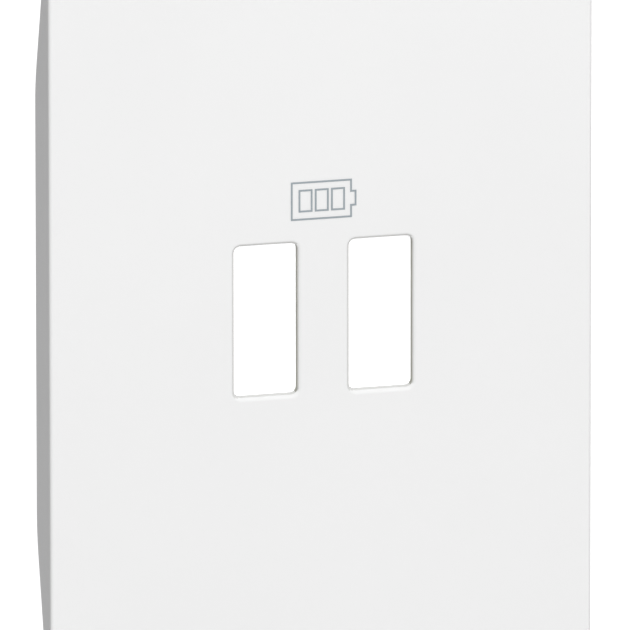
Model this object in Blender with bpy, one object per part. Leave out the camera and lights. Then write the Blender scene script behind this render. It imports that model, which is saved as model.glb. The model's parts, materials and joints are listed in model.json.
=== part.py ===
"""A flush wall charging point with two sprung-shutter charging ports behind a plain push-on cover.

Run with: blender --background --python part.py
Frame: metres, +Z up, -Y towards the room. The wall plane is y = 0, and x = z = 0 is the middle of the
support frame. Sizes below are in millimetres times MM.
"""

from math import cos, pi, radians, sin

import bmesh
import bpy
from mathutils import Matrix, Vector

MM = 0.001
GAP = 0.3 * MM  # between pieces that rest on each other
THROUGH = 4 * MM  # how far a cutter runs past the wall it opens

# Cover: a thin plate with two long flanks that get shallower towards the ends
PLATE_W, PLATE_H, PLATE_T = 45.0 * MM, 67.0 * MM, 0.8 * MM
PLATE_X = -0.21 * MM  # the plate's middle, from the middle of the ports
FACE_Y = -7.3 * MM
SKIRT_D, SKIRT_T = 5.4 * MM, 1.2 * MM
PLATE_CORNER, EDGE_R = 1.0 * MM, 0.3 * MM
TAPER_FROM, TAPER_SLOPE, TAPER_BLEND = 19.1 * MM, 0.32, 1.8 * MM
PLATE_BACK = FACE_Y + PLATE_T
RIB_X, RIB_W, RIB_DEPTH, RIB_HALF_H = 15.0 * MM, 0.8 * MM, 1.6 * MM, 24.0 * MM
ROOT = 0.3 * MM  # how deep a rib or leg is rooted in the plate
CORNER = 0.01 * MM  # the small chamfer at the corners of the legs, cells and flap rods

# Ports: two upright slots, with everything behind them centred on them
PORT_X, PORT_Z = 4.77 * MM, -0.65 * MM
SLOT_W, SLOT_H, SLOT_R, SLOT_RIM = 5.22 * MM, 12.86 * MM, 0.5 * MM, 0.36 * MM

# Shutter flaps: pivots on the outer long edge, free edge towards the middle
FLAP_FRONT, FLAP_T, FLAP_HALF_H = PLATE_BACK + 0.1 * MM, 0.6 * MM, 7.1 * MM
FLAP_EDGE_X, PIVOT_X, ROD_R, STUB_R = 1.75 * MM, 8.0 * MM, 0.7 * MM, 0.45 * MM
PIVOT_Y = FLAP_FRONT + ROD_R
STUB_TOP, STUB_BOTTOM = 1.9 * MM, 3.3 * MM
SPRING_WIRE_R, SPRING_COIL_R, SPRING_PITCH, SPRING_TURNS = 0.1 * MM, 0.75 * MM, 0.36 * MM, 3
FLAP_LEG, CARRIER_LEG = 2.0 * MM, 0.9 * MM  # the spring's two straight ends

# Symbol printed above the ports: a battery outline with three cells
SYMBOL_Z, SYMBOL_W, SYMBOL_H = 9.38 * MM, 5.06 * MM, 3.26 * MM
TERMINAL_W, TERMINAL_H = 0.37 * MM, 1.33 * MM
SYMBOL_X = -TERMINAL_W / 2
CELL_W, CELL_H, CELL_PITCH, CELL_SHIFT = 1.15 * MM, 1.91 * MM, 1.345 * MM, 0.03 * MM
LINE_W, PRINT_T, PRINT_GAP = 0.142 * MM, 0.03 * MM, 0.02 * MM

# Support frame: a pressed steel plate on the wall
FRAME_W, FRAME_H, FRAME_T, FRAME_R = 41.0 * MM, 66.6 * MM, 1.5 * MM, 3.0 * MM
FRAME_FRONT = -FRAME_T
RAIL_T, RAIL_H, RAIL_RISE = 1.2 * MM, 34.0 * MM, 1.6 * MM
BOX_SCREW_Z, BOX_SLOT_W, BOX_SLOT_H = 30.0 * MM, 8.0 * MM, 3.6 * MM
SLOT_END = 0.45  # the end radius of a screw slot or vent, as a share of its width
LEG_X, LEG_Z, LEG_W, LEG_T, LEG_END = 10.0 * MM, 25.3 * MM, 3.0 * MM, 1.2 * MM, 1.2 * MM
FRAME_SCREW_X, FRAME_HOLE_R = 17.2 * MM, 0.95 * MM
EYE_X, EYE_Z, EYE_R = 16.5 * MM, 29.3 * MM, 1.5 * MM

# Housing in the wall
CASE_W, CASE_H, CASE_R, CASE_T = 31.0 * MM, 44.0 * MM, 3.0 * MM, 1.2 * MM
FLANGE_W, FLANGE_H, FLANGE_R = 37.0 * MM, 48.0 * MM, 2.0 * MM
FLANGE_FRONT, FLANGE_BACK = -3.3 * MM, FRAME_FRONT - GAP
CASE_SPLIT, CASE_BACK = 3.0 * MM, 22.4 * MM
TURRET_X, TURRET_TOP, TURRET_BOTTOM = 10.4 * MM, 9.4 * MM, -11.5 * MM
THROAT_IN, THROAT_OUT, THROAT_HALF_H = 1.4 * MM, 9.0 * MM, 7.4 * MM
THROAT_BACK, LIP_BACK = 0.85 * MM, 1.4 * MM  # a lip closes the throat round the receptacle
POST_X, POST_Z, POST_R, POST_BORE = 12.9 * MM, 19.4 * MM, 2.1 * MM, 1.3 * MM
HEAD_RECESS = 1.9 * MM
VENTS, VENT_PITCH, VENT_W, VENT_H, VENT_Z = 5, 3.6 * MM, 1.2 * MM, 11.0 * MM, 6.0 * MM

# Charging receptacles and boards
SHELL_W, SHELL_H, SHELL_R, SHELL_T = 5.72 * MM, 13.14 * MM, 0.6 * MM, 0.3 * MM
SHELL_FRONT, SHELL_BACK = LIP_BACK + GAP, 11.2 * MM
BORE_W, BORE_H, BORE_R = SHELL_W - 2 * SHELL_T, SHELL_H - 2 * SHELL_T, 0.35 * MM
TONGUE_IN, TONGUE_OUT, TONGUE_HALF_H, TONGUE_FRONT = 3.0 * MM, 4.84 * MM, 5.55 * MM, 0.1 * MM
CONTACT_Z = (-3.5 * MM, -1.0 * MM, 1.0 * MM, 3.5 * MM)
BOARD_T = 1.2 * MM
PORT_BOARD_Y, MAIN_BOARD_Y = SHELL_BACK + GAP, 19.0 * MM
PARTS_BACK = MAIN_BOARD_Y - GAP
PORT_BOARD_X, PORT_BOARD_BOTTOM, PORT_BOARD_TOP = 12.8 * MM, -10.6 * MM, 8.6 * MM
MAIN_BOARD_X, MAIN_BOARD_BOTTOM, MAIN_BOARD_TOP = 13.9 * MM, -12.0 * MM, 16.8 * MM
TAB_X, TAB_TOP = 10.3 * MM, 20.4 * MM
HEADER_X, HEADER_BOTTOM, HEADER_TOP = 6.0 * MM, 6.0 * MM, 8.4 * MM

# Transformer: an E-E core whose middle leg runs along Y through the winding
CORE_X, CORE_Z, CORE_FRONT, CORE_HALF_X, CORE_HALF_Z = -3.8 * MM, 14.8 * MM, 6.4 * MM, 6.2 * MM, 3.2 * MM
CORE_YOKE, CORE_LEG_X, CORE_WINDOW_X = 2.0 * MM, 1.9 * MM, 4.6 * MM
WINDING_W, WINDING_H, WINDING_BORE_W, WINDING_BORE_H = 8.6 * MM, 11.0 * MM, 4.4 * MM, 7.0 * MM

# Round cans and the drum choke, each with its middle (x, z), radius and front end
INPUT_CAN = (7.3 * MM, 14.6 * MM), 3.5 * MM, 5.5 * MM
OUTPUT_CAN_X, OUTPUT_CAN_Z, OUTPUT_CAN_R, OUTPUT_CAN_FRONT = 9.6 * MM, -6.4 * MM, 2.5 * MM, 13.2 * MM
CHOKE, CHOKE_R, CHOKE_WAIST_R, CHOKE_FRONT = (-9.4 * MM, 1.6 * MM), 3.0 * MM, 2.3 * MM, 13.4 * MM
FUSE_Y, FUSE_Z, FUSE_HALF, FUSE_R = 17.2 * MM, -3.2 * MM, 4.0 * MM, 1.3 * MM
SAFETY_Z, SAFETY_W, SAFETY_T, SAFETY_FRONT = -7.6 * MM, 8.6 * MM, 3.0 * MM, 14.0 * MM

# Mains terminals: a rising cage on a fixed bar, drawn back by a captive screw
WIRE_X, WIRE_Z = 5.6 * MM, -16.4 * MM
BLOCK_X, BLOCK_TOP, BLOCK_BOTTOM = 10.3 * MM, -12.3 * MM, -20.5 * MM
BLOCK_FRONT, BLOCK_BACK = 5.0 * MM, 20.9 * MM
CAVITY_X, CAVITY_HALF_Z, CAVITY_BACK = 3.7 * MM, 3.2 * MM, 18.9 * MM
CAGE_X, CAGE_HALF_Z, CAGE_FRONT, CAGE_BACK = 3.3 * MM, 2.8 * MM, 6.2 * MM, 14.8 * MM
CAGE_WALL, CAGE_FLOOR, CAGE_NUT = 0.7 * MM, 1.0 * MM, 1.6 * MM
BAR_X, BAR_FRONT, BAR_T = 2.2 * MM, 11.6 * MM, 1.2 * MM
BAR_BOTTOM, BAR_TOP, TAIL_X, TAIL_BOTTOM, TAIL_TOP = -18.7 * MM, -13.7 * MM, 1.1 * MM, -12.0 * MM, -11.2 * MM
WIRE_HOLE_X, WIRE_HOLE_FRONT, WIRE_HOLE_BACK = 2.7 * MM, 6.9 * MM, 11.9 * MM
SCREW_R, SCREW_TIP, SCREW_NECK, SCREW_HEAD_R, SCREW_END = (
    1.5 * MM, 13.1 * MM, 20.2 * MM, 2.5 * MM, 22.0 * MM)
HEAD_HOLE_R = 2.9 * MM

# Screws, each with its head's front and radius, its tip and its shank's radius
CROSS = 0.6  # a cross recess's length as a share of its head
BOX_SCREW = {"head_front": -3.9 * MM, "head_r": 2.8 * MM, "tip": 13.0 * MM, "radius": 1.35 * MM}
FRAME_SCREW = {"head_front": -4.7 * MM, "head_r": 1.6 * MM, "tip": -0.2 * MM, "radius": 0.8 * MM}
HOUSING_SCREW = {"head_front": 0.0, "head_r": 1.7 * MM, "tip": 21.0 * MM, "radius": 1.0 * MM}
HOUSING_HEAD_T = 1.5 * MM


# ---------------------------------------------------------------- modelling helpers

def clear_scene():
    for thing in list(bpy.data.objects):
        bpy.data.objects.remove(thing, do_unlink=True)


def material(name, colour, roughness=0.5, metallic=0.0):
    made = bpy.data.materials.new(name)
    made.use_nodes = True
    shader = made.node_tree.nodes["Principled BSDF"]
    shader.inputs["Base Color"].default_value = (*colour, 1.0)
    shader.inputs["Roughness"].default_value = roughness
    shader.inputs["Metallic"].default_value = metallic
    made.diffuse_color = (*colour, 1.0)
    return made


def solid(name, points, faces, finish=None):
    """One mesh object from points and faces, with its faces turned outwards."""
    mesh = bpy.data.meshes.new(name)
    mesh.from_pydata([tuple(p) for p in points], [], faces)
    work = bmesh.new()
    work.from_mesh(mesh)
    bmesh.ops.recalc_face_normals(work, faces=work.faces)
    if work.calc_volume(signed=True) < 0:
        bmesh.ops.reverse_faces(work, faces=work.faces)
    work.to_mesh(mesh)
    work.free()
    thing = bpy.data.objects.new(name, mesh)
    if finish:
        mesh.materials.append(finish)
    bpy.context.collection.objects.link(thing)
    return thing


def at(axis, level, u, v):
    """The point at a level along an axis; u and v are the other two coordinates, in X, Y, Z order."""
    return Vector({"X": (level, u, v), "Y": (u, level, v), "Z": (u, v, level)}[axis])


def stack(name, axis, rings, finish=None):
    """A closed solid through rings of equal point count, each a (level, outline) pair."""
    count = len(rings[0][1])
    points = [at(axis, level, u, v) for level, outline in rings for u, v in outline]
    faces = [list(range(count)), list(range(len(points) - count, len(points)))]
    for ring in range(len(rings) - 1):
        for i in range(count):
            a, b = ring * count + i, ring * count + (i + 1) % count
            faces.append([a, b, b + count, a + count])
    return solid(name, points, faces, finish)


def prism(name, axis, outline, low, high, finish=None):
    return stack(name, axis, [(low, outline), (high, outline)], finish)


def box(name, low, high, finish=None):
    (x0, y0, z0), (x1, y1, z1) = low, high
    return prism(name, "Z", [(x0, y0), (x1, y0), (x1, y1), (x0, y1)], z0, z1, finish)


def rectangle(width, height, centre):
    x, z = centre
    return [(x + sx * width / 2, z + sz * height / 2) for sx, sz in ((1, 1), (-1, 1), (-1, -1), (1, -1))]


def rounded(width, height, radius, centre=(0.0, 0.0), steps=6):
    """A rectangle with round corners."""
    points = []
    for quarter, (sx, sz) in enumerate([(1, 1), (-1, 1), (-1, -1), (1, -1)]):
        cx, cz = sx * (width / 2 - radius), sz * (height / 2 - radius)
        for step in range(steps + 1):
            angle = (quarter + step / steps) * pi / 2
            points.append((centre[0] + cx + radius * cos(angle),
                           centre[1] + cz + radius * sin(angle)))
    return points


def circle(centre, radius, steps=20):
    return [(centre[0] + radius * cos(2 * pi * i / steps),
             centre[1] + radius * sin(2 * pi * i / steps)) for i in range(steps)]


def turned(name, axis, centre, profile, finish=None, steps=20):
    """A round solid; the profile is a list of (level, radius) pairs along the axis."""
    rings = [(level, circle(centre, radius, steps)) for level, radius in profile]
    return stack(name, axis, rings, finish)


def combine(target, tools, operation):
    """Cuts the tools from the target or joins them to it, and removes them."""
    for tool in tools:
        step = target.modifiers.new(operation, "BOOLEAN")
        step.operation, step.solver, step.object = operation, "EXACT", tool
        graph = bpy.context.evaluated_depsgraph_get()
        result = bpy.data.meshes.new_from_object(target.evaluated_get(graph))
        target.modifiers.clear()
        target.data = result
        bpy.data.objects.remove(tool, do_unlink=True)
    return target


def cut(target, *tools):
    return combine(target, tools, "DIFFERENCE")


def join(target, *tools):
    return combine(target, tools, "UNION")


def mirrored(outline, side):
    return [(side * x, z) for x, z in outline]


def smooth(thing, angle=35):
    thing.data.shade_smooth()
    thing.data.set_sharp_from_angle(angle=radians(angle))
    return thing


# ---------------------------------------------------------------- finishes

def make_finishes():
    return {
        "cover": material("white_cover", (0.76, 0.76, 0.76), 0.42),
        "flap": material("opal_white_flap", (0.93, 0.93, 0.93), 0.4),
        "ink": material("grey_ink", (0.30, 0.31, 0.33), 0.6),
        "steel": material("zinc_plated_steel", (0.62, 0.63, 0.64), 0.35, 1.0),
        "case": material("grey_case", (0.55, 0.56, 0.57), 0.55),
        "front": material("white_carrier", (0.78, 0.78, 0.77), 0.5),
        "board": material("green_laminate", (0.05, 0.20, 0.10), 0.5),
        "shell": material("nickel_shell", (0.72, 0.71, 0.69), 0.25, 1.0),
        "tongue": material("white_insulator", (0.85, 0.85, 0.83), 0.45),
        "gold": material("gold_contact", (0.83, 0.62, 0.28), 0.25, 1.0),
        "brass": material("brass", (0.75, 0.58, 0.30), 0.35, 1.0),
        "ferrite": material("ferrite", (0.06, 0.06, 0.065), 0.6),
        "tape": material("yellow_tape", (0.85, 0.68, 0.12), 0.4),
        "black": material("black_moulding", (0.02, 0.02, 0.02), 0.5),
        "sleeve": material("dark_sleeve", (0.03, 0.05, 0.09), 0.3),
        "blue": material("blue_coating", (0.07, 0.22, 0.55), 0.35),
    }


# ---------------------------------------------------------------- cover and symbol

def skirt_cutter(end):
    """What lies behind the flanks' rear edge at one end: straight, a soft bend, then a slope."""
    rear, beyond = FACE_Y + SKIRT_D, PLATE_H / 2 + 2 * MM
    edge = [(rear, TAPER_FROM - TAPER_BLEND)]
    for step in range(1, 7):
        share = step / 6
        edge.append((rear - TAPER_SLOPE * TAPER_BLEND * share * share,
                     TAPER_FROM + TAPER_BLEND * (2 * share - 1)))
    edge.append((rear - TAPER_SLOPE * (beyond - TAPER_FROM), beyond))
    edge += [(rear + 2 * MM, beyond), (rear + 2 * MM, TAPER_FROM - TAPER_BLEND)]
    outline = [(y, end * z) for y, z in edge]
    return prism("skirt_end", "X", outline, -PLATE_W, PLATE_W)


def slot_cutter(side):
    """A slot with a rounded rim, seen from the front."""
    def ring(grow):
        return rounded(SLOT_W + 2 * grow, SLOT_H + 2 * grow, SLOT_R + grow,
                       (side * PORT_X, PORT_Z), 4)
    rings = [(FACE_Y - 1 * MM, ring(SLOT_RIM))]
    for step in range(5):
        angle = step / 4 * pi / 2
        rings.append((FACE_Y + SLOT_RIM * (1 - cos(angle)), ring(SLOT_RIM * (1 - sin(angle)))))
    rings.append((PLATE_BACK + 1 * MM, ring(0.0)))
    return stack("slot", "Y", rings)


def cover_leg(sx, sz):
    """A plain sprung leg that grips the support frame; its tip is chamfered to find its hole."""
    tip = LEG_END - 0.8 * MM
    rings = [(PLATE_BACK - ROOT, LEG_W, LEG_T + 0.6 * MM), (PLATE_BACK + 2 * MM, LEG_W, LEG_T),
             (tip, LEG_W, LEG_T), (LEG_END, LEG_W - 0.8 * MM, LEG_T - 0.6 * MM)]
    return stack("leg", "Y", [(y, rounded(w, t, CORNER, (sx * LEG_X, sz * LEG_Z), 1)) for y, w, t in rings])


def make_cover(finish):
    rings = []
    for step in range(5):
        angle = step / 4 * pi / 2
        inset = EDGE_R * (1 - sin(angle))
        rings.append((FACE_Y + EDGE_R * (1 - cos(angle)),
                      rounded(PLATE_W - 2 * inset, PLATE_H - 2 * inset, PLATE_CORNER - inset, (PLATE_X, 0))))
    rings.append((FACE_Y + SKIRT_D, rounded(PLATE_W, PLATE_H, PLATE_CORNER, (PLATE_X, 0))))
    cover = stack("cover_shell", "Y", rings, finish)
    inner = PLATE_W / 2 - SKIRT_T
    hollow = box("hollow", (PLATE_X - inner, PLATE_BACK, -PLATE_H), (PLATE_X + inner, 0.0, PLATE_H))
    cut(cover, hollow, skirt_cutter(1), skirt_cutter(-1), slot_cutter(-1), slot_cutter(1))
    for side in (-1, 1):
        x = side * RIB_X
        join(cover, box("rib", (x - RIB_W / 2, PLATE_BACK - ROOT, -RIB_HALF_H),
                        (x + RIB_W / 2, PLATE_BACK + RIB_DEPTH, RIB_HALF_H)))
    for sx in (-1, 1):
        for sz in (-1, 1):
            join(cover, cover_leg(sx, sz))
    return smooth(cover)


def frame_of(name, outer, inner, finish):
    """A printed line: the band between two outlines, a little proud of the cover's face."""
    back, front = FACE_Y - PRINT_GAP, FACE_Y - PRINT_GAP - PRINT_T
    band = prism(name, "Y", outer, front, back, finish)
    return cut(band, prism("inner", "Y", inner, front - MM, back + MM))


def battery_outline(grow):
    """The symbol's outer outline: a rectangle with a terminal step on its right."""
    x, z = SYMBOL_W / 2 + grow, SYMBOL_H / 2 + grow
    step_x, step_z = x + TERMINAL_W, TERMINAL_H / 2 + grow
    points = [(-x, -z), (x, -z), (x, -step_z), (step_x, -step_z),
              (step_x, step_z), (x, step_z), (x, z), (-x, z)]
    return [(px + SYMBOL_X, pz + SYMBOL_Z) for px, pz in points]


def make_symbol(finish):
    frame_of("battery_outline", battery_outline(0.0), battery_outline(-LINE_W), finish)
    for index in range(3):
        centre = (SYMBOL_X + (index - 1) * CELL_PITCH + CELL_SHIFT, SYMBOL_Z)
        outer = rounded(CELL_W, CELL_H, CORNER, centre, 1)
        inner = rounded(CELL_W - 2 * LINE_W, CELL_H - 2 * LINE_W, CORNER, centre, 1)
        frame_of(f"battery_cell_{index + 1}", outer, inner, finish)


# ---------------------------------------------------------------- shutters

def make_shutter(side, label, finish):
    """A flap whose long rounded edge carries a pivot stub at each end."""
    low, high = PORT_Z - FLAP_HALF_H, PORT_Z + FLAP_HALF_H
    flap = box(f"shutter_{label}", (FLAP_EDGE_X, FLAP_FRONT, low),
               (PIVOT_X, FLAP_FRONT + FLAP_T, high), finish)
    pivot = (PIVOT_X, PIVOT_Y)
    rod = turned("rod", "Z", pivot, [
        (low - STUB_BOTTOM, STUB_R), (low, STUB_R), (low + CORNER, ROD_R),
        (high - CORNER, ROD_R), (high, STUB_R), (high + STUB_TOP, STUB_R)], steps=16)
    join(flap, rod)
    flap.data.transform(Matrix.Translation((-PIVOT_X, -PIVOT_Y, 0)))
    if side < 0:
        flap.data.transform(Matrix.Scale(-1, 4, (1, 0, 0)))
        flap.data.flip_normals()
    flap.location = (side * PIVOT_X, PIVOT_Y, 0)
    return smooth(flap)


def make_spring(side, label, finish):
    """A torsion spring round the lower pivot stub, in its own pocket below the flap."""
    coil, per_turn = SPRING_COIL_R, 12
    top = PORT_Z - THROAT_HALF_H - 0.25 * MM
    path = [Vector((-FLAP_LEG, coil, 0.0))]
    for step in range(SPRING_TURNS * per_turn + 1):
        angle = pi / 2 - 2 * pi * step / per_turn
        path.append(Vector((coil * cos(angle), coil * sin(angle), -SPRING_PITCH * step / per_turn)))
    path.append(path[-1] + Vector((CARRIER_LEG, 0.0, 0.0)))
    line = bpy.data.curves.new(f"shutter_spring_{label}", "CURVE")
    line.dimensions, line.bevel_depth, line.bevel_resolution = "3D", SPRING_WIRE_R, 1
    line.use_fill_caps, line.resolution_u, line.render_resolution_u = True, 1, 0
    spline = line.splines.new("POLY")
    spline.points.add(len(path) - 1)
    for place, point in zip(spline.points, path):
        place.co = (side * (PIVOT_X + point.x), PIVOT_Y + point.y, top + point.z, 1.0)
    spring = bpy.data.objects.new(f"shutter_spring_{label}", line)
    line.materials.append(finish)
    bpy.context.collection.objects.link(spring)


# ---------------------------------------------------------------- support frame and screws

def make_support_frame(finish):
    plate = prism("support_frame", "Y", rounded(FRAME_W, FRAME_H, FRAME_R), FRAME_FRONT, 0.0, finish)
    window = rounded(CASE_W + 0.8 * MM, CASE_H + 0.8 * MM, CASE_R + 0.4 * MM)
    cut(plate, prism("window", "Y", window, -THROUGH, THROUGH))
    for end in (-1, 1):
        slot = rounded(BOX_SLOT_W, BOX_SLOT_H, SLOT_END * BOX_SLOT_H, (0, end * BOX_SCREW_Z), 4)
        cut(plate, prism("slot", "Y", slot, -THROUGH, THROUGH))
        for side in (-1, 1):
            hole = rectangle(LEG_W + 2 * GAP, LEG_T + 2 * GAP, (side * LEG_X, end * LEG_Z))
            cut(plate, prism("hole", "Y", hole, -THROUGH, THROUGH))
            eye = circle((side * EYE_X, end * EYE_Z), EYE_R, 16)
            cut(plate, prism("eye", "Y", eye, -THROUGH, THROUGH))
    for side in (-1, 1):
        x = side * (FRAME_W / 2 - RAIL_T / 2)
        rail = box("rail", (x - RAIL_T / 2, FRAME_FRONT - RAIL_RISE, -RAIL_H / 2),
                   (x + RAIL_T / 2, -0.2 * MM, RAIL_H / 2))
        join(plate, rail)
        hole = circle((side * FRAME_SCREW_X, 0), FRAME_HOLE_R, 16)
        cut(plate, prism("hole", "Y", hole, -THROUGH, THROUGH))
    return plate


def make_screw(name, centre, head_back, finish, head_front, head_r, tip, radius):
    """A domed-head screw along Y with a cross recess; the head faces the lower y."""
    dome = [(head_front, 0.55 * head_r), (head_front + 0.25 * (head_back - head_front), 0.88 * head_r),
            (head_front + 0.6 * (head_back - head_front), head_r), (head_back, head_r),
            (head_back + 0.001 * MM, radius)]
    point = tip - 1.2 * radius
    body = turned(name, "Y", centre, [*dome, (point, radius), (tip, 0.35 * radius)], finish)
    for turn in (0, 1):
        half = (CROSS * head_r, 0.16 * head_r)[:: 1 if turn else -1]
        low = (centre[0] - half[0], head_front - MM, centre[1] - half[1])
        high = (centre[0] + half[0], head_front + 0.5 * (head_back - head_front), centre[1] + half[1])
        cut(body, box("recess", low, high))
    return smooth(body)


def make_frame_screws(finish):
    for end, label in ((1, "top"), (-1, "bottom")):
        make_screw(f"box_screw_{label}", (0, end * BOX_SCREW_Z), FRAME_FRONT - GAP, finish, **BOX_SCREW)
    for side, label in ((-1, "left"), (1, "right")):
        make_screw(f"frame_screw_{label}", (side * FRAME_SCREW_X, 0), FLANGE_FRONT - GAP, finish,
                   **FRAME_SCREW)


# ---------------------------------------------------------------- housing

def shutter_seats(side):
    """Cutters for one port: the throat, the lip's opening, the pivot bearings, the spring's pocket."""
    low, high = PORT_Z - THROAT_HALF_H, PORT_Z + THROAT_HALF_H
    xs = sorted((side * THROAT_IN, side * THROAT_OUT))
    throat = box("throat", (xs[0], FACE_Y, low), (xs[1], THROAT_BACK, high))
    mouth = prism("mouth", "Y", rounded(BORE_W, BORE_H, BORE_R, (side * PORT_X, PORT_Z)), 0.0, SHELL_BACK)
    pivot = (side * PIVOT_X, PIVOT_Y)
    bottom = PORT_Z - FLAP_HALF_H - STUB_BOTTOM - GAP
    top = PORT_Z + FLAP_HALF_H + STUB_TOP + GAP
    bearing = turned("bearing", "Z", pivot, [(bottom, STUB_R + 0.15 * MM), (top, STUB_R + 0.15 * MM)])
    xs = sorted((side * (PIVOT_X - 2.4 * MM), side * (PIVOT_X + 1.2 * MM)))
    pocket = box("pocket", (xs[0], FACE_Y, low - 1.7 * MM), (xs[1], PIVOT_Y + 1.1 * MM, low + MM))
    return throat, mouth, bearing, pocket


def posts(front, back, radius):
    for sx in (-1, 1):
        for sz in (-1, 1):
            yield turned("post", "Y", (sx * POST_X, sz * POST_Z), [(front, radius), (back, radius)])


def make_front_housing(finish):
    case = rounded(CASE_W, CASE_H, CASE_R)
    front = prism("front_housing", "Y", rounded(FLANGE_W, FLANGE_H, FLANGE_R),
                  FLANGE_FRONT, FLANGE_BACK, finish)
    join(front, prism("collar", "Y", case, FLANGE_FRONT + 0.4 * MM, CASE_SPLIT))
    inner = rounded(CASE_W - 2 * CASE_T, CASE_H - 2 * CASE_T, CASE_R - CASE_T)
    cut(front, prism("inside", "Y", inner, FLANGE_FRONT + CASE_T, CASE_SPLIT + MM))
    join(front, box("turret", (-TURRET_X, FLAP_FRONT, TURRET_BOTTOM), (TURRET_X, LIP_BACK, TURRET_TOP)))
    join(front, *posts(FLANGE_FRONT + 0.6 * MM, CASE_SPLIT, POST_R))
    for side in (-1, 1):
        cut(front, *shutter_seats(side))
        hole = circle((side * FRAME_SCREW_X, 0), FRAME_HOLE_R, 16)
        cut(front, prism("hole", "Y", hole, FLANGE_FRONT - MM, FLANGE_BACK + MM))
    cut(front, *posts(0.4 * MM, CASE_SPLIT + MM, POST_BORE))
    return front


def make_rear_housing(finish):
    rear = prism("rear_housing", "Y", rounded(CASE_W, CASE_H, CASE_R), CASE_SPLIT + GAP, CASE_BACK, finish)
    inner = rounded(CASE_W - 2 * CASE_T, CASE_H - 2 * CASE_T, CASE_R - CASE_T)
    cut(rear, prism("inside", "Y", inner, CASE_SPLIT - MM, CASE_BACK - CASE_T))
    join(rear, *posts(CASE_SPLIT + GAP, CASE_BACK - 0.5 * MM, POST_R))
    cut(rear, *posts(CASE_SPLIT - MM, CASE_BACK + MM, POST_BORE))
    cut(rear, *posts(CASE_BACK - HEAD_RECESS, CASE_BACK + MM, POST_R - 0.2 * MM))
    for side in (-1, 1):
        x = side * WIRE_X
        hole = [(CASE_BACK - 3 * MM, HEAD_HOLE_R), (CASE_BACK + MM, HEAD_HOLE_R)]
        cut(rear, turned("driver_hole", "Y", (x, WIRE_Z), hole))
        cut(rear, box("wire_hole", (x - WIRE_HOLE_X, WIRE_HOLE_FRONT, -CASE_H / 2 - MM),
                      (x + WIRE_HOLE_X, WIRE_HOLE_BACK, -CASE_H / 2 + CASE_T + 0.2 * MM)))
    for index in range(VENTS):
        x = (index - (VENTS - 1) / 2) * VENT_PITCH
        vent = rounded(VENT_W, VENT_H, SLOT_END * VENT_W, (x, VENT_Z), 2)
        cut(rear, prism("vent", "Y", vent, CASE_BACK - 2 * MM, CASE_BACK + MM))
    return rear


def make_housing_screws(finish):
    places = [(sx, sz) for sz in (1, -1) for sx in (-1, 1)]
    for index, (sx, sz) in enumerate(places):
        screw = make_screw(f"housing_screw_{index + 1}", (0, 0), HOUSING_HEAD_T, finish, **HOUSING_SCREW)
        screw.rotation_euler = (0, 0, pi)
        screw.location = (sx * POST_X, CASE_BACK - 0.1 * MM, sz * POST_Z)


# ---------------------------------------------------------------- receptacles

def make_receptacle(side, label, finishes):
    x = side * PORT_X
    shell = prism(f"usb_shell_{label}", "Y", rounded(SHELL_W, SHELL_H, SHELL_R, (x, PORT_Z)),
                  SHELL_FRONT, SHELL_BACK, finishes["shell"])
    bore = rounded(BORE_W, BORE_H, BORE_R, (x, PORT_Z))
    cut(shell, prism("bore", "Y", bore, SHELL_FRONT - MM, SHELL_BACK + MM))
    half_x, half_z = BORE_W / 2 - GAP, BORE_H / 2 - GAP
    tongue = box(f"usb_tongue_{label}", (x - half_x, 8.2 * MM, PORT_Z - half_z),
                 (x + half_x, SHELL_BACK, PORT_Z + half_z), finishes["tongue"])
    xs = sorted((side * TONGUE_IN, side * TONGUE_OUT))
    join(tongue, box("blade", (xs[0], TONGUE_FRONT, PORT_Z - TONGUE_HALF_H),
                     (xs[1], 9 * MM, PORT_Z + TONGUE_HALF_H)))
    base = TONGUE_OUT + 0.05 * MM
    for index, z in enumerate(CONTACT_Z):
        outline = [(base, 0.9 * MM), (base + 0.1 * MM, 0.8 * MM), (base + 0.55 * MM, 1.7 * MM),
                   (base + 0.2 * MM, 2.8 * MM), (base + 0.2 * MM, 7.9 * MM), (base, 7.9 * MM),
                   (base, 2.8 * MM), (base + 0.35 * MM, 1.7 * MM)]
        prism(f"usb_contact_{label}_{index + 1}", "Z", mirrored(outline, side),
              PORT_Z + z - 0.5 * MM, PORT_Z + z + 0.5 * MM, finishes["gold"])


# ---------------------------------------------------------------- boards and components

def make_boards(finishes):
    box("port_board", (-PORT_BOARD_X, PORT_BOARD_Y, PORT_BOARD_BOTTOM),
        (PORT_BOARD_X, PORT_BOARD_Y + BOARD_T, PORT_BOARD_TOP), finishes["board"])
    main = box("main_board", (-MAIN_BOARD_X, MAIN_BOARD_Y, MAIN_BOARD_BOTTOM),
               (MAIN_BOARD_X, MAIN_BOARD_Y + BOARD_T, MAIN_BOARD_TOP), finishes["board"])
    join(main, box("tab", (-TAB_X, MAIN_BOARD_Y, MAIN_BOARD_TOP - MM),
                   (TAB_X, MAIN_BOARD_Y + BOARD_T, TAB_TOP)))
    box("board_header", (-HEADER_X, PORT_BOARD_Y + BOARD_T + GAP, HEADER_BOTTOM),
        (HEADER_X, PARTS_BACK, HEADER_TOP), finishes["black"])


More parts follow.
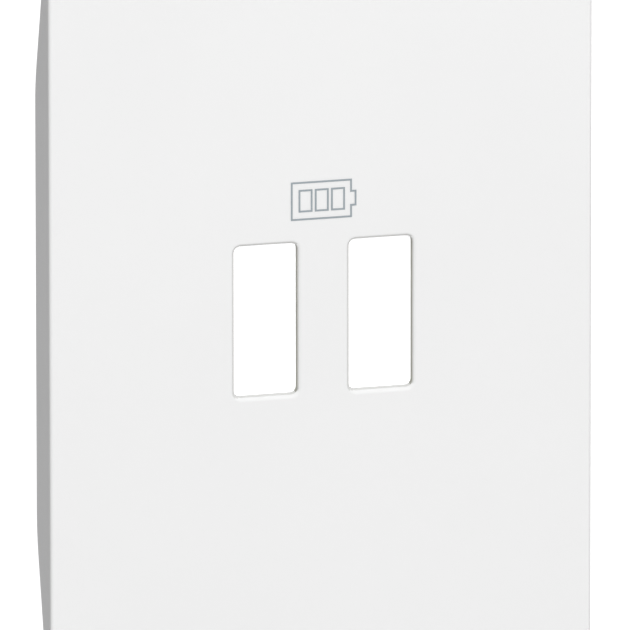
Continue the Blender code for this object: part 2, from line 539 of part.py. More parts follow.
def make_transformer(finishes):
    core = box("transformer_core", (CORE_X - CORE_HALF_X, CORE_FRONT, CORE_Z - CORE_HALF_Z),
               (CORE_X + CORE_HALF_X, PARTS_BACK, CORE_Z + CORE_HALF_Z), finishes["ferrite"])
    for side in (-1, 1):
        xs = sorted((CORE_X + side * CORE_LEG_X, CORE_X + side * CORE_WINDOW_X))
        cut(core, box("window", (xs[0], CORE_FRONT + CORE_YOKE, CORE_Z - 2 * CORE_HALF_Z),
                      (xs[1], PARTS_BACK - CORE_YOKE, CORE_Z + 2 * CORE_HALF_Z)))
    outer = rounded(WINDING_W, WINDING_H, 1.5 * MM, (CORE_X, CORE_Z))
    winding = prism("transformer_winding", "Y", outer, CORE_FRONT + CORE_YOKE + 0.4 * MM,
                    PARTS_BACK - CORE_YOKE - 0.4 * MM, finishes["tape"])
    leg = rounded(WINDING_BORE_W, WINDING_BORE_H, 0.2 * MM, (CORE_X, CORE_Z))
    cut(winding, prism("leg", "Y", leg, CORE_FRONT, PARTS_BACK))


def make_capacitor(name, centre, radius, front, finish):
    """A can with a rolled groove near its leads."""
    turned(name, "Y", centre, [(front, radius - 0.3 * MM), (front + 0.3 * MM, radius),
                               (PARTS_BACK - 1.6 * MM, radius), (PARTS_BACK - 1.3 * MM, radius - 0.3 * MM),
                               (PARTS_BACK - 1.0 * MM, radius), (PARTS_BACK, radius - 0.2 * MM)], finish)


def make_components(finishes):
    make_transformer(finishes)
    make_capacitor("input_capacitor", *INPUT_CAN, finishes["sleeve"])
    for index, side in enumerate((-1, 1)):
        make_capacitor(f"output_capacitor_{index + 1}", (side * OUTPUT_CAN_X, OUTPUT_CAN_Z), OUTPUT_CAN_R,
                       OUTPUT_CAN_FRONT, finishes["sleeve"])
    turned("choke", "Y", CHOKE, [
        (CHOKE_FRONT, CHOKE_R), (CHOKE_FRONT + MM, CHOKE_R), (CHOKE_FRONT + 1.2 * MM, CHOKE_WAIST_R),
        (PARTS_BACK - 1.2 * MM, CHOKE_WAIST_R), (PARTS_BACK - MM, CHOKE_R), (PARTS_BACK, CHOKE_R)],
        finishes["ferrite"])
    box("bridge_rectifier", (6.4 * MM, 16.1 * MM, -0.4 * MM), (12.6 * MM, PARTS_BACK, 4.2 * MM),
        finishes["black"])
    box("controller_chip", (-2.5 * MM, 17.2 * MM, 0.0), (2.5 * MM, PARTS_BACK, 3.9 * MM), finishes["black"])
    chamfer = 0.3 * MM
    turned("fuse", "X", (FUSE_Y, FUSE_Z), [
        (-FUSE_HALF, FUSE_R - chamfer), (chamfer - FUSE_HALF, FUSE_R),
        (FUSE_HALF - chamfer, FUSE_R), (FUSE_HALF, FUSE_R - chamfer)], finishes["tongue"])
    prism("safety_capacitor", "Y", rounded(SAFETY_W, SAFETY_T, 0.4 * SAFETY_T, (0, SAFETY_Z)),
          SAFETY_FRONT, PARTS_BACK, finishes["blue"])


# ---------------------------------------------------------------- mains terminals

def make_terminal_block(finish):
    block = box("terminal_block", (-BLOCK_X, BLOCK_FRONT, BLOCK_BOTTOM),
                (BLOCK_X, BLOCK_BACK, BLOCK_TOP), finish)
    for side in (-1, 1):
        x = side * WIRE_X
        cut(block, box("cavity", (x - CAVITY_X, 0, WIRE_Z - CAVITY_HALF_Z),
                       (x + CAVITY_X, CAVITY_BACK, WIRE_Z + CAVITY_HALF_Z)))
        neck = [(CAVITY_BACK - MM, SCREW_R + GAP), (BLOCK_BACK + MM, SCREW_R + GAP)]
        cut(block, turned("neck", "Y", (x, WIRE_Z), neck))
        head = [(SCREW_NECK - GAP, HEAD_HOLE_R), (BLOCK_BACK + MM, HEAD_HOLE_R)]
        cut(block, turned("head", "Y", (x, WIRE_Z), head))
        cut(block, box("wire", (x - WIRE_HOLE_X, WIRE_HOLE_FRONT, BLOCK_BOTTOM - MM),
                       (x + WIRE_HOLE_X, WIRE_HOLE_BACK, WIRE_Z)))
        cut(block, box("bar_slot", (x - TAIL_X - GAP, 0, WIRE_Z),
                       (x + TAIL_X + GAP, BAR_FRONT + BAR_T + GAP, BLOCK_TOP + MM)))
    return block


def make_terminal(side, label, finishes):
    x = side * WIRE_X
    cage = box(f"terminal_cage_{label}", (x - CAGE_X, CAGE_FRONT, WIRE_Z - CAGE_HALF_Z),
               (x + CAGE_X, CAGE_BACK, WIRE_Z + CAGE_HALF_Z), finishes["shell"])
    cut(cage, box("window", (x - CAGE_X + CAGE_WALL, CAGE_FRONT + CAGE_FLOOR, WIRE_Z - 2 * CAGE_HALF_Z),
                  (x + CAGE_X - CAGE_WALL, CAGE_BACK - CAGE_NUT, WIRE_Z + 2 * CAGE_HALF_Z)))
    thread = [(BAR_FRONT, SCREW_R + GAP), (CAGE_BACK + MM, SCREW_R + GAP)]
    cut(cage, turned("thread", "Y", (x, WIRE_Z), thread))
    bar = box(f"terminal_bar_{label}", (x - BAR_X, BAR_FRONT, BAR_BOTTOM),
              (x + BAR_X, BAR_FRONT + BAR_T, BAR_TOP), finishes["brass"])
    join(bar, box("neck", (x - TAIL_X, BAR_FRONT, WIRE_Z), (x + TAIL_X, BAR_FRONT + BAR_T, TAIL_TOP)))
    join(bar, box("tail", (x - TAIL_X, BAR_FRONT + 0.2 * MM, TAIL_BOTTOM),
                  (x + TAIL_X, PARTS_BACK, TAIL_TOP)))
    screw = turned(f"terminal_screw_{label}", "Y", (0, 0), [
        (SCREW_TIP, 0.7 * SCREW_R), (SCREW_TIP + 0.4 * MM, SCREW_R), (SCREW_NECK, SCREW_R),
        (SCREW_NECK + 0.001 * MM, SCREW_HEAD_R), (SCREW_END - 0.4 * MM, SCREW_HEAD_R),
        (SCREW_END, 0.85 * SCREW_HEAD_R)], finishes["steel"])
    cut(screw, box("slot", (-3 * MM, SCREW_END - 1.0 * MM, -0.35 * MM), (3 * MM, SCREW_END + MM, 0.35 * MM)))
    screw.location = (x, 0, WIRE_Z)
    smooth(screw)


# ---------------------------------------------------------------- whole object

def main():
    clear_scene()
    finishes = make_finishes()
    make_cover(finishes["cover"])
    make_symbol(finishes["ink"])
    make_support_frame(finishes["steel"])
    make_frame_screws(finishes["steel"])
    make_front_housing(finishes["front"])
    make_rear_housing(finishes["case"])
    make_housing_screws(finishes["steel"])
    for side, label in ((-1, "left"), (1, "right")):
        make_shutter(side, label, finishes["flap"])
        make_spring(side, label, finishes["steel"])
        make_receptacle(side, label, finishes)
        make_terminal(side, label, finishes)
    make_boards(finishes)
    make_components(finishes)
    make_terminal_block(finishes["black"])


main()
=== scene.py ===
"""The wall charging point's look: camera, studio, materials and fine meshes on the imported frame."""

import json
from math import cos, pi, radians, sin

import bmesh
import bpy
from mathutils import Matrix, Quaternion, Vector


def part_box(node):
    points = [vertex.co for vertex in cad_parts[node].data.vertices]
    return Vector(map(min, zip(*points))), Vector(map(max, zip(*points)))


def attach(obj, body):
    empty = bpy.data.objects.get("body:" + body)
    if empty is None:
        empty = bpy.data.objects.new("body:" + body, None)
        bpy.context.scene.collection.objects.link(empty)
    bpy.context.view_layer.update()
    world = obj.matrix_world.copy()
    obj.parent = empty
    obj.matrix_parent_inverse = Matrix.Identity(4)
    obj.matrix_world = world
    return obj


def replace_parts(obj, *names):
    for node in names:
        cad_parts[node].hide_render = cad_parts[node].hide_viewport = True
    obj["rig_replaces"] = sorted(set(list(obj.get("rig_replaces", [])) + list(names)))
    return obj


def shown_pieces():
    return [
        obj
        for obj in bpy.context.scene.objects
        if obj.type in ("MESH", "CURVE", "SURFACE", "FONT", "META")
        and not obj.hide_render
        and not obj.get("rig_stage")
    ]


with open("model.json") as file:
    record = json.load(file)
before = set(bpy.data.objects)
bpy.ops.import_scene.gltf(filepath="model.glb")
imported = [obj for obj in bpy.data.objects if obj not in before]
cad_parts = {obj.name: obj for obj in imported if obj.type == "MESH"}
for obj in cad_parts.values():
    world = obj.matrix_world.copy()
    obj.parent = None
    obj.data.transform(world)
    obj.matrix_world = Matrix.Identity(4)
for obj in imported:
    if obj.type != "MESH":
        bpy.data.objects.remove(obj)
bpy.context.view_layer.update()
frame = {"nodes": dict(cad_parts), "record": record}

MM = 0.001


# ---------------------------------------------------------------- camera

VIEW_AZIMUTH, VIEW_ELEVATION, VIEW_ROLL = radians(-12.3), radians(17.9), radians(-0.05)
VIEW_DISTANCE = 2.3                          # far off with a long lens: hardly any convergence
VIEW_WIDTH = 51.09 * MM                      # what the view spans at the cover's face
AIM_RIGHT, AIM_UP = -0.50 * MM, -0.41 * MM   # the view's middle, from the middle of the face
SENSOR, CLIP_START, CLIP_END = 36.0, 0.05, 20.0


def make_camera():
    low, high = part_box("cover_shell")
    face = Vector(((low.x + high.x) / 2, low.y, (low.z + high.z) / 2))
    back = Vector((sin(VIEW_AZIMUTH) * cos(VIEW_ELEVATION),
                   -cos(VIEW_AZIMUTH) * cos(VIEW_ELEVATION), sin(VIEW_ELEVATION)))
    turn = (-back).to_track_quat("-Z", "Y") @ Quaternion((0, 0, 1), VIEW_ROLL)
    right, up = turn @ Vector((1, 0, 0)), turn @ Vector((0, 1, 0))
    data = bpy.data.cameras.new("camera")
    data.sensor_width = SENSOR
    data.lens = SENSOR * VIEW_DISTANCE / VIEW_WIDTH
    data.clip_start, data.clip_end = CLIP_START, CLIP_END
    camera = bpy.data.objects.new("camera", data)
    bpy.context.collection.objects.link(camera)
    camera.rotation_mode = "QUATERNION"
    camera.rotation_quaternion = turn
    camera.location = face + back * VIEW_DISTANCE + right * AIM_RIGHT + up * AIM_UP
    bpy.context.scene.camera = camera


# ---------------------------------------------------------------- studio

WHITE = (1, 1, 1, 1)
WORLD_LIGHT, WORLD_SHOWN = 0.428, 1.15   # what the world lights with, and how bright it is seen
KEY_PLACE, KEY_SIZE, KEY_POWER = (0.03, -1.28, 0.74), (0.7, 0.7), 16.05
REAR_PLACE, REAR_SIZE, REAR_POWER = (0.55, 1.1, 0.8), (0.3, 0.9), 6.0
FLOOR_Z, FLOOR_HALF, FLOOR_GLOW = -0.10, 3.0, 0.6


def make_world():
    """An even white surround, seen brighter than it lights."""
    world = bpy.data.worlds.new("studio")
    world.use_nodes = True
    bpy.context.scene.world = world
    tree = world.node_tree
    tree.nodes.clear()
    out = tree.nodes.new("ShaderNodeOutputWorld")
    mix = tree.nodes.new("ShaderNodeMixShader")
    rays = tree.nodes.new("ShaderNodeLightPath")
    light, shown = (tree.nodes.new("ShaderNodeBackground") for _ in range(2))
    light.inputs["Color"].default_value = WHITE
    light.inputs["Strength"].default_value = WORLD_LIGHT
    shown.inputs["Color"].default_value = WHITE
    shown.inputs["Strength"].default_value = WORLD_SHOWN
    tree.links.new(rays.outputs["Is Camera Ray"], mix.inputs[0])
    tree.links.new(light.outputs[0], mix.inputs[1])
    tree.links.new(shown.outputs[0], mix.inputs[2])
    tree.links.new(mix.outputs[0], out.inputs["Surface"])


def make_softbox(name, place, size, power):
    """An area light aimed at the middle of the object."""
    data = bpy.data.lights.new(name, "AREA")
    data.shape, data.size, data.size_y = "RECTANGLE", *size
    data.energy = power
    lamp = bpy.data.objects.new(name, data)
    bpy.context.collection.objects.link(lamp)
    lamp.location = place
    lamp.rotation_mode = "QUATERNION"
    lamp.rotation_quaternion = (-Vector(place)).to_track_quat("-Z", "Y")


def make_floor():
    """A pale floor with a slight glow, which can't be seen from below."""
    half = FLOOR_HALF
    mesh = bpy.data.meshes.new("floor")
    mesh.from_pydata([(-half, -half, FLOOR_Z), (half, -half, FLOOR_Z),
                      (half, half, FLOOR_Z), (-half, half, FLOOR_Z)], [], [(0, 1, 2, 3)])
    floor = bpy.data.objects.new("floor", mesh)
    bpy.context.collection.objects.link(floor)
    pale = Shader("pale_floor", (0.6, 0.6, 0.6), 0.8)
    pale.tint(pale.noise(0.3), 0.3, 0.7, (0.59, 0.59, 0.59)).set("Emission Color", WHITE)
    seen = pale.tree.nodes.new("ShaderNodeLightPath").outputs["Is Camera Ray"]
    pale.link(pale.ramp(seen, 0, 1, 0, FLOOR_GLOW), pale.shader.inputs["Emission Strength"])
    clear = pale.tree.nodes.new("ShaderNodeBsdfTransparent")
    below = pale.tree.nodes.new("ShaderNodeMixShader")
    pale.link(pale.tree.nodes.new("ShaderNodeNewGeometry").outputs["Backfacing"], below.inputs[0])
    pale.link(pale.shader.outputs[0], below.inputs[1])
    pale.link(clear.outputs[0], below.inputs[2])
    pale.link(below.outputs[0], pale.tree.nodes["Material Output"].inputs["Surface"])
    mesh.materials.append(pale.material)
    floor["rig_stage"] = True


def make_studio():
    settings = bpy.context.scene.view_settings
    settings.view_transform, settings.look = "Standard", "None"
    make_world()
    make_softbox("front_softbox", KEY_PLACE, KEY_SIZE, KEY_POWER)
    make_softbox("rear_softbox", REAR_PLACE, REAR_SIZE, REAR_POWER)
    make_floor()


# ---------------------------------------------------------------- materials

WAVE_PERIOD = 0.314   # the wave texture's own period at a scale of 1
# painted light: the shutter flaps glow, though they are no lamp, so that the slots read as bright as the
# white surround
FLAP_PAINTED_GLOW = 0.5


class Shader:
    """A node material built step by step; coordinates are the piece's own, in metres."""

    def __init__(self, name, colour, roughness, metallic=0.0):
        self.material = bpy.data.materials.new(name)
        self.material.use_nodes = True
        self.tree = self.material.node_tree
        self.shader = self.tree.nodes["Principled BSDF"]
        self.base, self.colour = colour, None
        self.set("Base Color", (*colour, 1))
        self.set("Roughness", roughness)
        self.set("Metallic", metallic)
        self.place = self.tree.nodes.new("ShaderNodeTexCoord").outputs["Object"]

    def set(self, socket, value):
        self.shader.inputs[socket].default_value = value
        return self

    def link(self, start, end):
        self.tree.links.new(start, end)

    def stretched(self, stretch):
        node = self.tree.nodes.new("ShaderNodeMapping")
        node.inputs["Scale"].default_value = stretch
        self.link(self.place, node.inputs["Vector"])
        return node.outputs["Vector"]

    def noise(self, period, detail=2.0, stretch=(1, 1, 1)):
        node = self.tree.nodes.new("ShaderNodeTexNoise")
        node.inputs["Scale"].default_value = 1 / period
        node.inputs["Detail"].default_value = detail
        self.link(self.stretched(stretch), node.inputs["Vector"])
        return node.outputs["Fac"]

    def cells(self, period):
        node = self.tree.nodes.new("ShaderNodeTexVoronoi")
        node.inputs["Scale"].default_value = 1 / period
        self.link(self.place, node.inputs["Vector"])
        return node.outputs["Distance"]

    def waves(self, period, axis):
        node = self.tree.nodes.new("ShaderNodeTexWave")
        node.bands_direction = axis
        node.inputs["Scale"].default_value = WAVE_PERIOD / period
        self.link(self.place, node.inputs["Vector"])
        return node.outputs["Fac"]

    def ramp(self, value, low, high, start, end):
        """Maps a value's range from low to high onto the range from start to end."""
        node = self.tree.nodes.new("ShaderNodeMapRange")
        for socket, number in zip(("From Min", "From Max", "To Min", "To Max"), (low, high, start, end)):
            node.inputs[socket].default_value = number
        self.link(value, node.inputs["Value"])
        return node.outputs["Result"]

    def tint(self, value, low, high, other):
        """Blends the colour towards another as the value goes from low to high."""
        node = self.tree.nodes.new("ShaderNodeMix")
        node.data_type = "RGBA"
        self.link(self.ramp(value, low, high, 0, 1), node.inputs["Factor"])
        if self.colour:
            self.link(self.colour, node.inputs["A"])
        else:
            node.inputs["A"].default_value = (*self.base, 1)
        node.inputs["B"].default_value = (*other, 1)
        self.colour = node.outputs["Result"]
        self.link(self.colour, self.shader.inputs["Base Color"])
        return self

    def rough(self, value, low, high, start, end):
        self.link(self.ramp(value, low, high, start, end), self.shader.inputs["Roughness"])
        return self

    def bump(self, value, depth):
        node = self.tree.nodes.new("ShaderNodeBump")
        node.inputs["Distance"].default_value = depth
        self.link(value, node.inputs["Height"])
        self.link(node.outputs["Normal"], self.shader.inputs["Normal"])
        return self


def moulded(name, colour, roughness, grain=0.25 * MM, depth=0.004 * MM, mottle=0.96):
    """Moulded plastic: a spark-eroded grain, a slow change of tone and of gloss."""
    made = Shader(name, colour, roughness)
    made.tint(made.noise(18 * MM), 0.35, 0.65, tuple(c * mottle for c in colour))
    made.rough(made.noise(6 * MM), 0.3, 0.7, roughness - 0.04, roughness + 0.06)
    return made.bump(made.noise(grain, 3.0), depth)


def smooth_moulded(name, colour, roughness, specular):
    """The cover's fine, even and rather matt plastic."""
    made = moulded(name, colour, roughness, 0.22 * MM, 0.002 * MM, 0.99)
    return made.set("Specular IOR Level", specular)


def metal(name, colour, roughness, other, streak=(1, 1, 12)):
    """Plated or rolled metal: fine streaks along one way, with patches of another tone."""
    made = Shader(name, colour, roughness, 1.0)
    made.tint(made.noise(5 * MM, 3.0), 0.35, 0.7, other)
    made.rough(made.noise(0.6 * MM, 4.0, streak), 0.25, 0.75, roughness - 0.08, roughness + 0.12)
    return made.bump(made.noise(0.35 * MM, 4.0, streak), 0.003 * MM)


def cover_looks():
    """The cover, painted shade in darker tones of its plastic on its slots' walls and rims, the flaps with a
    painted glow, and the print.
    """
    # painted light: the flaps' white plastic also glows, so that no shade shows on them inside the slots
    flap = moulded("flap_painted_glow_look", (0.93, 0.93, 0.93), 0.42, 0.3 * MM, 0.001 * MM, 0.99)
    ink = Shader("grey_ink_look", (0.285, 0.325, 0.35), 0.6)
    return {
        "white_cover": smooth_moulded("white_cover_look", (0.78, 0.78, 0.78), 0.52, 0.3),
        # painted shade: the slots' side walls, end walls and some rims get darker tones of the cover's
        # plastic, in place of shade the studio's light doesn't give them
        "painted_shade_side": smooth_moulded("painted_shade_side_look", (0.325, 0.325, 0.292), 0.7, 0.1),
        "painted_shade_end": smooth_moulded("painted_shade_end_look", (0.57, 0.57, 0.56), 0.6, 0.2),
        "painted_shade_rim": smooth_moulded("painted_shade_rim_look", (0.62, 0.62, 0.61), 0.6, 0.2),
        "opal_white_flap": flap.set("Emission Color", WHITE).set("Emission Strength", FLAP_PAINTED_GLOW),
        "grey_ink": ink.tint(ink.noise(0.12 * MM), 0.4, 0.6, (0.305, 0.345, 0.37)),
    }


def laminate_look():
    """Green laminate: the glass weave shows as crossed bands."""
    made = Shader("green_laminate_look", (0.02, 0.13, 0.06), 0.35)
    made.tint(made.waves(0.5 * MM, "X"), 0.2, 0.9, (0.03, 0.17, 0.08))
    made.tint(made.waves(0.5 * MM, "Z"), 0.5, 1.0, (0.035, 0.19, 0.09))
    return made.bump(made.noise(0.2 * MM, 2.0), 0.003 * MM)


def ferrite_look():
    made = Shader("ferrite_look", (0.055, 0.055, 0.06), 0.6)
    made.tint(made.cells(0.12 * MM), 0.1, 0.5, (0.09, 0.09, 0.10))
    return made.bump(made.noise(0.1 * MM, 4), 0.01 * MM)


def tape_look():
    """Yellow tape, banded by the wire under it."""
    made = Shader("yellow_tape_look", (0.80, 0.55, 0.06), 0.3)
    made.tint(made.waves(0.45 * MM, "Y"), 0.3, 0.8, (0.72, 0.42, 0.03))
    return made.bump(made.waves(0.45 * MM, "Y"), 0.02 * MM)


def sleeve_look():
    made = Shader("dark_sleeve_look", (0.02, 0.03, 0.06), 0.28)
    made.tint(made.noise(3 * MM), 0.4, 0.6, (0.03, 0.045, 0.085))
    return made.bump(made.noise(1.5 * MM), 0.02 * MM)


def coating_look():
    """A dipped blue coating, uneven as it dried."""
    made = Shader("blue_coating_look", (0.03, 0.12, 0.45), 0.25)
    made.tint(made.noise(2 * MM), 0.4, 0.7, (0.05, 0.17, 0.55))
    return made.bump(made.noise(1.2 * MM), 0.04 * MM)


def plastic_looks():
    return {
        "white_carrier": moulded("white_carrier_look", (0.76, 0.76, 0.74), 0.5),
        "white_insulator": moulded("white_insulator_look", (0.80, 0.80, 0.76), 0.45),
        "grey_case": moulded("grey_case_look", (0.42, 0.43, 0.44), 0.55, 0.3 * MM, 0.012 * MM),
        "black_block": moulded("black_block_look", (0.022, 0.022, 0.024), 0.5, 0.3 * MM, 0.01 * MM, 1.4),
    }


def metal_looks():
    return {
        "spring_steel": metal("spring_steel_look", (0.55, 0.55, 0.56), 0.25, (0.45, 0.45, 0.47)),
        "zinc_plated_steel": metal("zinc_plated_look", (0.66, 0.67, 0.69), 0.34, (0.58, 0.60, 0.64)),
        "terminal_steel": metal("terminal_steel_look", (0.60, 0.60, 0.60), 0.32, (0.50, 0.50, 0.51)),
        "nickel_shell": metal("nickel_shell_look", (0.70, 0.68, 0.65), 0.24, (0.62, 0.60, 0.56), (1, 12, 1)),
        "gold_contact": metal("gold_contact_look", (0.85, 0.62, 0.25), 0.22, (0.80, 0.55, 0.20)),
        "copper": metal("enamelled_copper_look", (0.62, 0.25, 0.10), 0.3, (0.55, 0.20, 0.07), (1, 1, 1)),
        "brass_bar": metal("brass_bar_look", (0.72, 0.53, 0.24), 0.3, (0.60, 0.42, 0.17)),
    }


def make_looks():
    """Every finish by its slot in the record, with a few that only this script uses."""
    return {
        **cover_looks(), **plastic_looks(), **metal_looks(),
        "green_laminate": laminate_look(), "ferrite": ferrite_look(), "yellow_tape": tape_look(),
        "dark_sleeve": sleeve_look(), "blue_coating": coating_look(),
    }


# ---------------------------------------------------------------- mesh tools

SAME_POINT, HAIR = 0.0001 * MM, 0.02 * MM   # welding distances: doubled points, hair-thin facets
SMOOTH_ANGLE, SHARP_ANGLE, FLAT_ANGLE = radians(40), radians(32), radians(0.5)


def mesh_of(name, points, faces):
    """A mesh with its faces turned outwards."""
    mesh = bpy.data.meshes.new(name)
    mesh.from_pydata([tuple(p) for p in points], [], faces)
    work = bmesh.new()
    work.from_mesh(mesh)
    bmesh.ops.recalc_face_normals(work, faces=work.faces)
    if work.calc_volume(signed=True) < 0:
        bmesh.ops.reverse_faces(work, faces=work.faces)
    work.to_mesh(mesh)
    work.free()
    return mesh


def closed_tube(name, points, count):
    """A closed solid through rings of count points each, which follow one another in points."""
    faces = [list(range(count)), list(range(len(points) - count, len(points)))]
    for start in range(0, len(points) - count, count):
        for i in range(count):
            a, b = start + i, start + (i + 1) % count
            faces.append([a, b, b + count, a + count])
    return mesh_of(name, points, faces)


def stacked(name, rings):
    """A closed solid along Y through rings of equal point count, each (y, [(x, z), ...])."""
    points = [(x, y, z) for y, outline in rings for x, z in outline]
    return closed_tube(name, points, len(rings[0][1]))


def swept(name, path, radius, steps=10):
    """A round wire along a path, closed at both ends."""
    points, side = [], Vector((0, 0, 1))
    for i, point in enumerate(path):
        along = (path[min(i + 1, len(path) - 1)] - path[max(i - 1, 0)]).normalized()
        side = (side - along * side.dot(along)).normalized()
        other = along.cross(side)
        points += [point + radius * (side * cos(2 * pi * k / steps) + other * sin(2 * pi * k / steps))
                   for k in range(steps)]
    return closed_tube(name, points, steps)


def polar(centre, radii):
    """An outline of points at equal angles round a centre, each at its own radius."""
    count = len(radii)
    return [(centre[0] + r * cos(2 * pi * k / count), centre[1] + r * sin(2 * pi * k / count))
            for k, r in enumerate(radii)]


def circle(centre, radius, steps=32):
    return polar(centre, [radius] * steps)


def rectangle(width, height, centre):
    x, z = centre
    return [(x + sx * width / 2, z + sz * height / 2) for sx, sz in ((-1, -1), (1, -1), (1, 1), (-1, 1))]


def rounded(width, height, radius, centre, steps=6):
    """A rectangle with round corners."""
    points = []
    for quarter, (sx, sz) in enumerate(((1, 1), (-1, 1), (-1, -1), (1, -1))):
        cx, cz = sx * (width / 2 - radius), sz * (height / 2 - radius)
        for step in range(steps + 1):
            angle = (quarter + step / steps) * pi / 2
            points.append((centre[0] + cx + radius * cos(angle), centre[1] + cz + radius * sin(angle)))
    return points


def bar(spot, start, end, width, height):
    """A plain bar along Y round a spot (x, z)."""
    return stacked("bar", [(y, rectangle(width, height, spot)) for y in (start, end)])


def joined(name, meshes):
    """Several meshes as one, without merging their surfaces."""
    work = bmesh.new()
    for mesh in meshes:
        work.from_mesh(mesh)
    whole = bpy.data.meshes.new(name)
    work.to_mesh(whole)
    work.free()
    return whole


def carved(mesh, *tools, operation="DIFFERENCE"):
    """The mesh with the tools' shapes cut out of it, or joined to it with the operation UNION."""
    for tool in tools:
        target, cutter = bpy.data.objects.new("target", mesh), bpy.data.objects.new("cutter", tool)
        for thing in (target, cutter):
            bpy.context.collection.objects.link(thing)
        step = target.modifiers.new("cut", "BOOLEAN")
        step.operation, step.solver, step.object = operation, "EXACT", cutter
        graph = bpy.context.evaluated_depsgraph_get()
        mesh = bpy.data.meshes.new_from_object(target.evaluated_get(graph))
        bpy.data.objects.remove(target)
        bpy.data.objects.remove(cutter)
    return mesh


def refined(node, width, chosen=None, weld=SAME_POINT):
    """The CAD node's own shape with its flat faces merged and its sharp edges rounded.

    chosen tells whether a point's edges are rounded; weld closes facets thinner than itself.
    """
    work = bmesh.new()
    work.from_mesh(frame["nodes"][node].data)
    bmesh.ops.remove_doubles(work, verts=work.verts, dist=weld)
    bmesh.ops.dissolve_limit(work, angle_limit=FLAT_ANGLE, verts=work.verts, edges=work.edges)
    sharp = [edge for edge in work.edges
             if edge.is_manifold and edge.calc_face_angle(0) > SHARP_ANGLE
             and (chosen is None or all(chosen(vert.co) for vert in edge.verts))]
    if width:
        bmesh.ops.bevel(work, geom=sharp, offset=width, segments=2, profile=0.5,
                        affect="EDGES", clamp_overlap=True)
    mesh = bpy.data.meshes.new(node)
    work.to_mesh(mesh)
    work.free()
    return mesh


def show(name, mesh, body, look, slot, *nodes):
    """One finished piece: it rides on a body and stands for CAD nodes."""
    if not mesh.materials:
        mesh.materials.append(look.material)
    mesh.shade_smooth()
    mesh.set_sharp_from_angle(angle=SMOOTH_ANGLE)
    thing = bpy.data.objects.new(name, mesh)
    bpy.context.collection.objects.link(thing)
    even = thing.modifiers.new("even_shading", "WEIGHTED_NORMAL")
    even.weight, even.keep_sharp = 100, True
    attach(thing, body)
    if nodes:
        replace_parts(thing, *nodes)
    return thing


def spot_of(node):
    """Where a node's axis along Y passes, as (x, z)."""
    low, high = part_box(node)
    return (low.x + high.x) / 2, (low.z + high.z) / 2


# ---------------------------------------------------------------- screws and springs

SCREW_STEPS, RECESS_TAPER = 24, 0.7
BOX_THREAD = {"under": -1.8 * MM, "root": 1.05 * MM, "ridge": 0.28 * MM, "pitch": 0.7 * MM}
FRAME_THREAD = {"under": -3.6 * MM, "root": 0.62 * MM, "ridge": 0.16 * MM, "pitch": 0.4 * MM}
CASE_HEAD_R, CASE_HEAD_T, CASE_NECK_R = 1.7 * MM, 1.5 * MM, 0.95 * MM
CASE_THREAD = 0.72 * MM, 0.24 * MM, 0.8 * MM        # root radius, ridge height and pitch
CLAMP_NECK, CLAMP_NECK_R = 20.2 * MM, 1.25 * MM     # where a terminal screw's head ends
CLAMP_THREAD = 1.2 * MM, 0.27 * MM, 0.6 * MM


def thread(start, end, root, ridge, pitch, per_turn=8):
    """Rings of a round shank whose surface rises into one helical ridge, which fades at both ends."""
    rings = []
    count = int(abs(end - start) / pitch * per_turn)
    for i in range(count + 1):
        y = start + (end - start) * i / count
        fade = min(1.0, abs(y - start) / pitch, abs(end - y) / pitch)
        turns = [(y / pitch - k / SCREW_STEPS) % 1.0 for k in range(SCREW_STEPS)]
        rings.append((y, [root + ridge * fade * max(0.0, 1 - abs(turn - 0.5) * 3.2) for turn in turns]))
    return rings


def recess(top, depth, length, width, centre, cross=True):
    """The cutters of a cross or a slot in a head, which narrows with its depth along Y."""
    clear = top - MM if depth > 0 else top + MM
    cutters = []
    for w, h in ((length, width), (width, length))[:2 if cross else 1]:
        wide, narrow = rectangle(w, h, centre), rectangle(w * RECESS_TAPER, h * RECESS_TAPER, centre)
        cutters.append(stacked("recess", [(clear, wide), (top, wide), (top + depth, narrow)]))
    return cutters


def pan_head(top, under, radius):
    """A domed head's profile from its top to its underside."""
    deep = under - top
    profile = [(top, 0.30 * radius), (top + 0.02 * deep, 0.5 * radius)]
    for share in (0.1, 0.22, 0.38, 0.58, 0.8):
        profile.append((top + share * deep, radius * (0.62 + 0.38 * sin(share ** 0.6 * pi / 2) ** 0.8)))
    return profile + [(under - 0.04 * deep, radius), (under, 0.97 * radius)]


def screw_mesh(node, profile, ridges, tip, cutters):
    """A screw along Y: its head and neck as (y, radius) pairs, its thread's rings and its tip."""
    level, radius = tip
    rings = [(y, [r] * SCREW_STEPS) for y, r in profile] + ridges + [(level, [radius] * SCREW_STEPS)]
    centre = spot_of(node)
    return carved(stacked(node, [(y, polar(centre, radii)) for y, radii in rings]), *cutters)


def make_wall_screw(node, look, under, root, ridge, pitch):
    """A machine screw along +Y, with its head's underside at the level under."""
    low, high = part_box(node)
    head_r, neck_r = (high.x - low.x) / 2, root + ridge
    profile = pan_head(low.y, under, head_r) + [(under + 0.01 * MM, neck_r), (under + 0.3 * MM, neck_r)]
    ridges = thread(under + 0.35 * MM, high.y - 0.5 * root, root, ridge, pitch)
    cross = recess(low.y, 0.55 * (under - low.y), 1.25 * head_r, 0.26 * head_r, spot_of(node))
    mesh = screw_mesh(node, profile, ridges, (high.y, 0.4 * root), cross)
    show(f"{node}_threaded", mesh, "base", look, "zinc_plated_steel", node)


def make_case_screw(node, look):
    """A tapping screw driven from behind, along -Y."""
    low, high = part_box(node)
    under = high.y - CASE_HEAD_T
    profile = pan_head(high.y, under, CASE_HEAD_R)
    profile += [(under - 0.01 * MM, CASE_NECK_R), (under - 0.5 * MM, CASE_NECK_R)]
    ridges = thread(under - 0.6 * MM, low.y + MM, *CASE_THREAD)
    cross = recess(high.y, -0.8 * MM, 1.25 * CASE_HEAD_R, 0.26 * CASE_HEAD_R, spot_of(node))
    mesh = screw_mesh(node, profile, ridges, (low.y, 0.3 * MM), cross)
    show(f"{node}_threaded", mesh, "base", look, "zinc_plated_steel", node)


